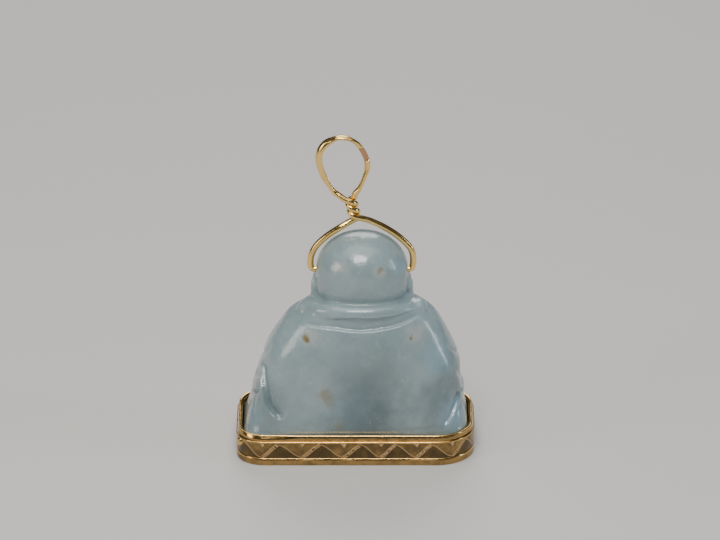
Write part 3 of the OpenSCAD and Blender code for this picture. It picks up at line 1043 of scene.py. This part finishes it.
class Engraving:
    """The hand-cut wave on the strip: thin falling lines, ribbed rising strokes, and a
    wedge hanging from the top edge over each trough."""

    def __init__(self, outline, settings):
        self.depth = settings.cut_depth / MM
        self.pitch = settings.wave_pitch / MM
        rest = outline.length + BACK_CRESTS[0] - BACK_CRESTS[-1]
        count = round(rest / self.pitch)
        even = BACK_CRESTS[-1] + rest * np.arange(1, count + 1) / count
        self.crests = np.array([BACK_CRESTS[0] - 4.0, *BACK_CRESTS, *even])
        self.high = STRIP_HIGH.z - 0.17
        self.low = STRIP_LOW.z + 0.13

    def phase(self, s):
        return np.interp(s, self.crests, np.arange(len(self.crests)))

    def wave(self, s):
        """The wave's height, and the share of the way from one crest to the next."""
        share = np.mod(self.phase(s), 1.0)
        fall = np.clip(share / FALL_SHARE, 0, 1)
        rise = np.clip((share - FALL_SHARE) / (1 - FALL_SHARE), 0, 1)
        down = 1 - smoothstep(fall)
        up = 0.45 * rise + 0.55 * smoothstep(rise)
        return self.low + (self.high - self.low) * np.where(share < FALL_SHARE, down, up), share

    def marks(self, s, up):
        """Depth of the cut, its painted glint, and 1 on the field under the wave."""
        height, share = self.wave(s)
        slope = (self.wave(s + 0.02)[0] - self.wave(s - 0.02)[0]) / 0.04
        lean = np.sqrt(1 + slope**2)
        away = (up - height) / lean
        rising = share > FALL_SHARE
        thin = 0.8 * np.clip(1 - np.abs(away) / 0.065, 0, 1) * ~rising
        edges = 0.7 * np.clip(1 - np.abs(np.abs(away) - 0.16) / 0.05, 0, 1) * rising
        along = s * lean + 0.4 * away
        ribs = np.clip(1.4 * np.cos(2 * math.pi * along / 0.16), 0, 1) * (np.abs(away) < 0.18) * rising
        line = np.maximum(np.maximum(thin, edges), ribs)
        wedge = np.zeros(len(s))
        for k, crest in enumerate(self.crests[:-1]):
            trough = crest + FALL_SHARE * (self.crests[k + 1] - crest)
            size = 0.3 + 0.12 * noise.noise((k * 1.7, 3.1, 0.0))
            across, hang = (s - trough) / size, (STRIP_HIGH.z - up) / (1.5 * size)
            inside = (np.abs(across - 0.35 * hang) < 1 - hang) & (hang > -0.2)
            wedge = np.maximum(wedge, inside * (0.55 + 0.45 * np.clip(across, -1, 1)))
        depth = self.depth * np.maximum(line, 1.6 * wedge)
        # Painted glint in the lines and the wedges
        bright = np.maximum(line, wedge)
        under = smoothstep(-away, 0.02, 0.12)
        return depth, bright, under


def set_marks(mesh, name, values):
    """Keeps a value for each vertex, for the finish to read."""
    attribute = mesh.attributes.new(name, "FLOAT", "POINT")
    attribute.data.foreach_set("value", np.asarray(values, np.float32))


def arc_points(centre, radius, start, end, count):
    """Points (out, up) on an arc, its angles in degrees."""
    angles = np.radians(np.linspace(start, end, count))
    return [(centre[0] + radius * math.cos(a), centre[1] + radius * math.sin(a)) for a in angles]


# Bumps of solder on the foot rim: length along the outline and width
SOLDER_BUMPS = [
    (4.6, 0.6), (8.9, 0.45), (15.9, 0.4), (17.2, 0.8), (27.0, 0.5), (38.0, 0.6), (51.0, 0.5),
]


def foot_rim_mesh(outline, settings):
    """A half-round wire under the strip, with solder bumps along its top edge."""
    wall = settings.wall / MM
    out = RIM_HIGH.x - STRIP_HIGH.x
    low, high = RIM_LOW.z, RIM_HIGH.z
    bow = [
        (out * math.cos(a) ** 0.55, (low + high) / 2 + (high - low) / 2 * math.sin(a))
        for a in np.radians(np.linspace(-86, 86, 19))
    ]
    profile = [(-wall, low), (-0.1, low), *bow, (-0.1, high), (-wall, high)]
    def swell(s, u, z):
        top = smoothstep(z, high - 0.35, high - 0.05) * (u > 0)
        raised = sum(np.exp(-(((s - at) / width) ** 2)) for at, width in SOLDER_BUMPS)
        return top * (0.03 - 0.045 * np.clip(raised, 0, 1))

    mesh, s, out, up = ring_piece("foot_rim", outline, profile, 560, (1.0, 0.03), swell)
    # Painted highlight: a bright gold line along the rim's top edge
    set_marks(mesh, "cut", smoothstep(up, high - 0.2, high - 0.12))
    return mesh


def divider_mesh(outline, settings):
    """The round wire over the strip, with the bead of solder at the back left corner."""
    wall = settings.wall / MM
    radius = (DIVIDER_HIGH.z - DIVIDER_LOW.z) / 2
    out = DIVIDER_HIGH.x - STRIP_HIGH.x
    centre = (out - radius, DIVIDER_LOW.z + radius)
    profile = [(-wall, DIVIDER_LOW.z), *arc_points(centre, radius, -90, 90, 13), (-wall, DIVIDER_HIGH.z)]
    mesh = ring_piece("divider_wire", outline, profile, 560, (4.0, 0.035))[0]
    bm = bmesh.new()
    bm.from_mesh(mesh)
    bpy.data.meshes.remove(mesh)
    ball(bm, (12.08, 4.35, 2.1), (0.45, 0.42, 0.5))
    return to_mesh(bm, "divider_wire")


def bezel_mesh(outline, settings):
    """The plain strip over the divider, its top edge burnished in against the stone."""
    wall = settings.wall / MM
    low, high = BEZEL_LOW.z, BEZEL_HIGH.z
    lip_out = -0.22
    face = [(-0.015, low), (-0.02, low + 0.12), (-0.03, low + 0.25), (-0.05, high - 0.24)]
    lip = arc_points((lip_out, high - 0.1), 0.12, 12, 100, 9)
    profile = [(-wall, low), *face, *lip, (-wall, high - 0.04)]

    def rubbed(s):
        """1 round the back left corner, where the lip was rubbed over, and 0 away from it."""
        return np.exp(-((((s + 30) % outline.length - 30 - 0.2) / 2.6) ** 4))

    def worn(s, u, z):
        return 0.12 * rubbed(s) * smoothstep(z, low + 0.18, high - 0.05) * (u > -0.45)

    mesh, s, out, up = ring_piece("bezel_collar", outline, profile, 560, (7.0, 0.03), worn)
    # Painted highlight: the lip and the rubbed back left corner take bright gold against the bezel's
    # darker body
    lip_highlight = smoothstep(up, high - 0.17, high - 0.09)
    set_marks(mesh, "cut", np.maximum(lip_highlight, rubbed(s) * smoothstep(up, low + 0.1, low + 0.2)))
    return mesh


def strip_mesh(outline, settings):
    """The engraved strip. Its cuts are real ones, and are also kept as marks."""
    wall = settings.wall / MM
    rows = 33
    steps = 1900
    low, high = STRIP_LOW.z, STRIP_HIGH.z
    outer = [(0.0, low + (high - low) * i / rows) for i in range(rows + 1)]
    engraving = Engraving(outline, settings)

    def cuts(s, u, z):
        return engraving.marks(s, z)[0] * (u > -0.1)

    profile = [(-wall, low), *outer, (-wall, high)]
    mesh, s, out, up = ring_piece("engraved_strip", outline, profile, steps, (1.0, 0.03), cuts)
    depth, bright, under = engraving.marks(s, up)
    # Painted glint: the cuts take the bright cut colour
    set_marks(mesh, "cut", bright * (out > -0.1))
    set_marks(mesh, "under", under)
    return mesh


# -------------------------------------------------------------------- the bail

# The twist's lower and upper end and its turns
TWIST_LOW = np.array([0.0, 0.0, 25.90])
TWIST_TOP = np.array([0.55, 0.0, 28.40])
TWIST_TURNS = 1.5

# Each strand's distance from the twist's middle, and half its thickness there, in wires
STRAND_APART, STRAND_HALF = 0.58, 0.475

# Each side of the arch, as (distance out from the head's side, share of the height from
# ear to twist)
ARCH_LEFT = [
    (-4.0, 0.0), (-2.0, 0.0), (0.14, 0.0), (0.27, 0.0), (0.47, 0.035), (0.56, 0.10),
    (0.50, 0.25), (0.17, 0.40), (-0.45, 0.54), (-1.38, 0.685), (-2.5, 0.82),
]
ARCH_RIGHT = [
    (-4.0, 0.0), (-2.0, 0.0), (0.14, 0.0), (0.25, 0.0), (0.41, 0.035), (0.50, 0.11),
    (0.50, 0.26), (0.24, 0.41), (-0.42, 0.55), (-1.38, 0.70), (-2.65, 0.845), (-3.9, 0.955),
]
# Where the strands leave the helix: the right arch's swings up in front, the left
# arch's comes out from behind, and the loop's left limb leans out over the twist
FRONT_START = [(-0.78, 0.26, 26.02)]
BEHIND_START = [(-0.12, -0.38, 25.82), (0.72, -0.28, 25.36)]
LIMB_START = [(1.05, 0.36, 28.2), (1.62, 0.2, 28.55)]
# The loop's line as (share of its width, share of its height) from over the twist
LOOP = [
    (0.265, 0.085), (0.36, 0.18), (0.455, 0.30), (0.545, 0.46), (0.59, 0.62), (0.56, 0.77),
    (0.45, 0.89), (0.28, 0.97), (0.10, 1.00), (-0.09, 0.965), (-0.24, 0.88), (-0.36, 0.75),
    (-0.435, 0.60), (-0.43, 0.45), (-0.36, 0.29), (-0.27, 0.14), (-0.18, 0.05),
]
LOOP_WIDTH, LOOP_HEIGHT = 4.9, 6.78

# How far the flattened wire turns over on each side of the loop
ROLL_LEFT, ROLL_RIGHT = math.radians(52), math.radians(42)

# The blank patch's middle, its direction down the wire and half its length
PATCH_CENTRE = np.array([-0.8, 0.0, 33.25])
PATCH_ALONG = np.array([-0.42, 0.0, -0.91])
PATCH_HALF = 0.82


def arch_points(route, side, half_width):
    """One side of the arch, as points."""
    return [
        (HEAD_X + side * (half_width + out), 0.0, EAR_Z + up * (TWIST_LOW[2] - EAR_Z))
        for out, up in route
    ]


def strand_points(start, radius, low, high):
    """A strand of the twist between two shares of its height, from an angle in degrees."""
    points = []
    for s in np.linspace(low, high, 11):
        a = math.radians(start - 360 * TWIST_TURNS * s)
        offset = np.array([radius * math.cos(a), radius * math.sin(a), 0])
        points.append(tuple(TWIST_LOW + s * (TWIST_TOP - TWIST_LOW) + offset))
    return points


def bail_mesh(settings, half_width):
    """One wire: out of the right ear, round the arch, up the twist, round the loop and
    back the same way to the left ear."""
    wire = settings.wire_diameter / MM
    strand_r = STRAND_APART * wire
    centre = TWIST_TOP + [0.38, 0, 0]
    loop = [tuple(centre + [LOOP_WIDTH * a, 0, LOOP_HEIGHT * b]) for a, b in LOOP]
    turn = 360 * TWIST_TURNS
    route = [
        *arch_points(ARCH_RIGHT, -1, half_width), *FRONT_START,
        *strand_points(turn, strand_r, 0.15, 0.84), *LIMB_START, *loop,
        *strand_points(turn + 180, strand_r, 0.22, 0.97)[::-1], *BEHIND_START,
        *arch_points(ARCH_LEFT, 1, half_width)[::-1],
    ]
    path = smooth_path(route, 620)
    height = path[:, 2]
    twisted = smoothstep(height, TWIST_LOW[2] - 1.0, TWIST_LOW[2] - 0.2)
    looped = smoothstep(height, TWIST_TOP[2], TWIST_TOP[2] + 0.25 * LOOP_HEIGHT)
    radius = wire / 2 + (STRAND_HALF * wire - wire / 2) * twisted
    hand = wander(np.arange(len(path)), 0.07, 2.0)
    thick = radius + (settings.flat_thickness / MM / 2 - radius) * looped
    wide = radius + (settings.flat_width / MM / 2 - radius) * looped
    thick = thick * (1 + 0.05 * hand * looped)
    left = smoothstep(path[:, 0], centre[0] + 0.9, centre[0] + 2.3)
    right = smoothstep(-path[:, 0], 0.1 - centre[0], 1.2 - centre[0]) * smoothstep(height, 30.2, 32.4)
    roll = looped * (ROLL_LEFT * left - ROLL_RIGHT * right + 0.08 * hand)
    bm = bmesh.new()
    rod_blank(bm, 28, len(path))
    sweep_rod(bm, path, thick, wide, Vector((0, 1, 0)), roll)
    mesh = to_mesh(bm, "bail")
    co = np.zeros(len(mesh.vertices) * 3, np.float32)
    mesh.vertices.foreach_get("co", co)
    co = co.reshape(-1, 3)
    # a blank rectangle pressed flat into the loop at the upper right
    away = co - PATCH_CENTRE
    along = away @ PATCH_ALONG
    across = away @ np.cross(PATCH_ALONG, (0, 1, 0))
    pressed = (
        smoothstep(PATCH_HALF - np.abs(along), 0, 0.05) * (np.abs(across) < 0.5) * (co[:, 1] > 0.06)
    )
    co[:, 1] += pressed * (np.minimum(co[:, 1], 0.13) - co[:, 1])
    mesh.vertices.foreach_set("co", co.ravel())
    set_marks(mesh, "cut", pressed)
    return mesh


# ------------------------------------------------------------------- operators


def finish_named(name):
    """A finish by its name, made the first time that it is asked for."""
    scene = bpy.context.scene
    gold, bail = scene.charm_frame, scene.charm_bail
    makers = {
        "polished_jade": lambda: jade_finish(scene.charm_stone),
        "drawn_gold": lambda: gold_finish(
            "drawn_gold", bail.wire_colour, gold.gold_colour, 0.0, 0.12, bail.patch_colour, 0.008),
        # Bezel and foot rim: mostly the dark colour as painted dark reflection, with painted highlights
        # on the marked edges
        "bezel_gold": lambda: gold_finish(
            "bezel_gold", gold.gold_colour, gold.dark_reflection_and_tarnish_colour, 0.62, 0.14, gold.gold_colour, 0.012),
        "rim_gold": lambda: gold_finish("rim_gold", gold.gold_colour, gold.dark_reflection_and_tarnish_colour, 0.1, 0.15),
        # The strip's field in the dark colour as painted dark reflection, and its cuts in painted glint
        "strip_gold": lambda: gold_finish(
            "strip_gold", gold.dark_reflection_and_tarnish_colour, gold.gold_colour, 0.0, 0.28, gold.cut_glint_colour),
        "sheet_gold": lambda: gold_finish("sheet_gold", gold.gold_colour, gold.dark_reflection_and_tarnish_colour, 0.3, 0.35),
        "dry_cement": lambda: cement_finish(gold),
    }
    return bpy.data.materials.get(name) or makers[name]()


class CHARM_OT_stone(bpy.types.Operator):
    """Carve the jade figure"""

    bl_idname = "charm.stone"
    bl_label = "Jade figure"

    def execute(self, context):
        settings, gold = context.scene.charm_stone, context.scene.charm_frame
        mesh = carved_stone(settings, gold)
        finish_piece(mesh, "jade_figure_carved", "figure", finish_named("polished_jade"),
                     "jade_figure")
        return {"FINISHED"}


class CHARM_OT_frame(bpy.types.Operator):
    """Bend, solder and engrave the four rings of the gold frame"""

    bl_idname = "charm.frame"
    bl_label = "Gold frame"

    def execute(self, context):
        settings = context.scene.charm_frame
        outline = Outline(STRIP_LOW, STRIP_HIGH, settings)
        pieces = (
            ("foot_rim", foot_rim_mesh, "bezel_gold", "polished_gold"),
            ("divider_wire", divider_mesh, "rim_gold", "polished_gold"),
            ("bezel_collar", bezel_mesh, "bezel_gold", "polished_gold"),
            ("engraved_strip", strip_mesh, "strip_gold", "engraved_gold"),
        )
        for node, make, finish, slot in pieces:
            mesh = make(outline, settings)
            finish_piece(mesh, node + "_worked", "figure", finish_named(finish), node)
        return {"FINISHED"}


class CHARM_OT_bail(bpy.types.Operator):
    """Bend, twist and flatten the wire bail"""

    bl_idname = "charm.bail"
    bl_label = "Wire bail"

    def execute(self, context):
        half_width = context.scene.charm_stone.head_half_width / MM
        mesh = bail_mesh(context.scene.charm_bail, half_width)
        finish_piece(mesh, "bail_wire_bent", "bail", finish_named("drawn_gold"),
                     "bail_wire")
        return {"FINISHED"}


class CHARM_OT_seat(bpy.types.Operator):
    """Finish the base plate and the setting cement"""

    bl_idname = "charm.seat"
    bl_label = "Plate and cement"

    def execute(self, context):
        for node, finish in (("base_plate", "sheet_gold"), ("setting_cement", "dry_cement")):
            piece = bpy.data.objects.get(node)
            if piece is None:
                raise RuntimeError(f"{node} is missing from the scene")
            if not piece.data.materials:
                piece.data.materials.append(None)
            for i in range(len(piece.data.materials)):
                piece.data.materials[i] = finish_named(finish)
        return {"FINISHED"}


# The point that the lamps and the camera face
TARGET = Vector((-0.47, 0, 19.97)) * MM

# Each lamp's degrees round from the back towards the figure's left and up, its distance
# and its width and height in metres, its power and its colour
LAMPS = {
    "key": (6, 52, 0.32, 0.13, 0.1, 0.6, (1.0, 0.98, 0.95)),
    "top": (20, 78, 0.4, 0.42, 0.34, 0.95, (1.0, 0.98, 0.95)),
    "fill": (62, 16, 0.3, 0.08, 0.12, 0.15, (1.0, 0.94, 0.84)),
    "window": (-80, 14, 0.3, 0.02, 0.13, 0.13, (0.75, 0.88, 1.0)),
    "front": (180, 42, 0.35, 0.2, 0.2, 0.5, (1.0, 0.97, 0.94)),
}


def soft_world():
    """A weak, cool light from all round."""
    world = bpy.data.worlds.new("studio")
    world.use_nodes = True
    inputs = world.node_tree.nodes["Background"].inputs
    inputs["Color"].default_value = (0.6, 0.63, 0.68, 1)
    inputs["Strength"].default_value = 0.1
    return world


def lay_floor(settings):
    """A pale floor, six metres across."""
    bm = bmesh.new()
    bmesh.ops.create_grid(bm, x_segments=1, y_segments=1, size=3)
    floor = bpy.data.objects.new("floor", to_mesh(bm, "floor"))
    finish = Finish("floor")
    colour = finish.mix(finish.clouds(0.01, 2.0) * 0.15, settings.floor_colour, (0.5, 0.5, 0.49))
    floor.data.materials.append(finish.surface(Base_Color=colour, Roughness=0.7))
    return floor


def facing_target(name, data, place):
    """An object that holds a lamp or a camera and faces the target."""
    holder = bpy.data.objects.new(name, data)
    holder.location = place
    holder.rotation_euler = (TARGET - place).to_track_quat("-Z", "Y").to_euler()
    return holder


def hang_lamps(settings):
    """The lamps, as soft rectangles round the target."""
    made = []
    for name, (round_, up, away, width, tall, power, colour) in LAMPS.items():
        lamp = bpy.data.lights.new(name, "AREA")
        lamp.shape = "RECTANGLE"
        lamp.size = width
        lamp.size_y = tall
        lamp.energy = power * settings.key_power
        lamp.color = colour
        a, e = math.radians(round_), math.radians(up)
        way = Vector((math.sin(a) * math.cos(e), math.cos(a) * math.cos(e), math.sin(e)))
        made.append(facing_target(name, lamp, TARGET + way * away))
    return made


def stand_camera(settings):
    """The camera, behind the figure and a little above it."""
    lens = bpy.data.cameras.new("camera")
    lens.sensor_width = 36
    lens.lens = lens.sensor_width * settings.distance / settings.frame_width
    lens.clip_start = 0.01
    e = settings.elevation
    place = TARGET + Vector((0, math.cos(e), math.sin(e))) * settings.distance
    return facing_target("camera", lens, place)


class CHARM_OT_stage(bpy.types.Operator):
    """Lay the pale floor, light it softly and set the camera"""

    bl_idname = "charm.stage"
    bl_label = "Floor, lights and camera"

    def execute(self, context):
        scene, settings = context.scene, context.scene.charm_stage
        scene.world = soft_world()
        made = [lay_floor(settings), *hang_lamps(settings), stand_camera(settings)]
        for thing in made:
            scene.collection.objects.link(thing)
        scene.camera = made[-1]
        return {"FINISHED"}


class CHARM_PT_panel(bpy.types.Panel):
    """The charm's pieces, each with a button that makes it"""

    bl_idname = "CHARM_PT_panel"
    bl_label = "Jade figure charm"
    bl_space_type = "VIEW_3D"
    bl_region_type = "UI"
    bl_category = "Charm"

    def draw(self, context):
        for operator in OPERATORS:
            self.layout.operator(operator.bl_idname)
        for name, group in GROUPS.items():
            box = self.layout.box()
            for key in group.__annotations__:
                box.prop(getattr(context.scene, name), key)


OPERATORS = (CHARM_OT_stone, CHARM_OT_frame, CHARM_OT_bail, CHARM_OT_seat, CHARM_OT_stage)
GROUPS = {
    "charm_stone": StoneSettings, "charm_frame": FrameSettings, "charm_bail": BailSettings,
    "charm_stage": StageSettings,
}


def register():
    """Adds the settings, the operators and the panel."""
    for kind in (*GROUPS.values(), *OPERATORS, CHARM_PT_panel):
        bpy.utils.register_class(kind)
    for name, group in GROUPS.items():
        setattr(bpy.types.Scene, name, PointerProperty(type=group))


def unregister():
    """Takes them away again."""
    for name in GROUPS:
        delattr(bpy.types.Scene, name)
    for kind in reversed((*GROUPS.values(), *OPERATORS, CHARM_PT_panel)):
        bpy.utils.unregister_class(kind)


def main():
    """Makes the charm from start to finish."""
    register()
    bpy.ops.charm.stone()
    bpy.ops.charm.frame()
    bpy.ops.charm.bail()
    bpy.ops.charm.seat()
    bpy.ops.charm.stage()


if __name__ == "__main__":
    main()
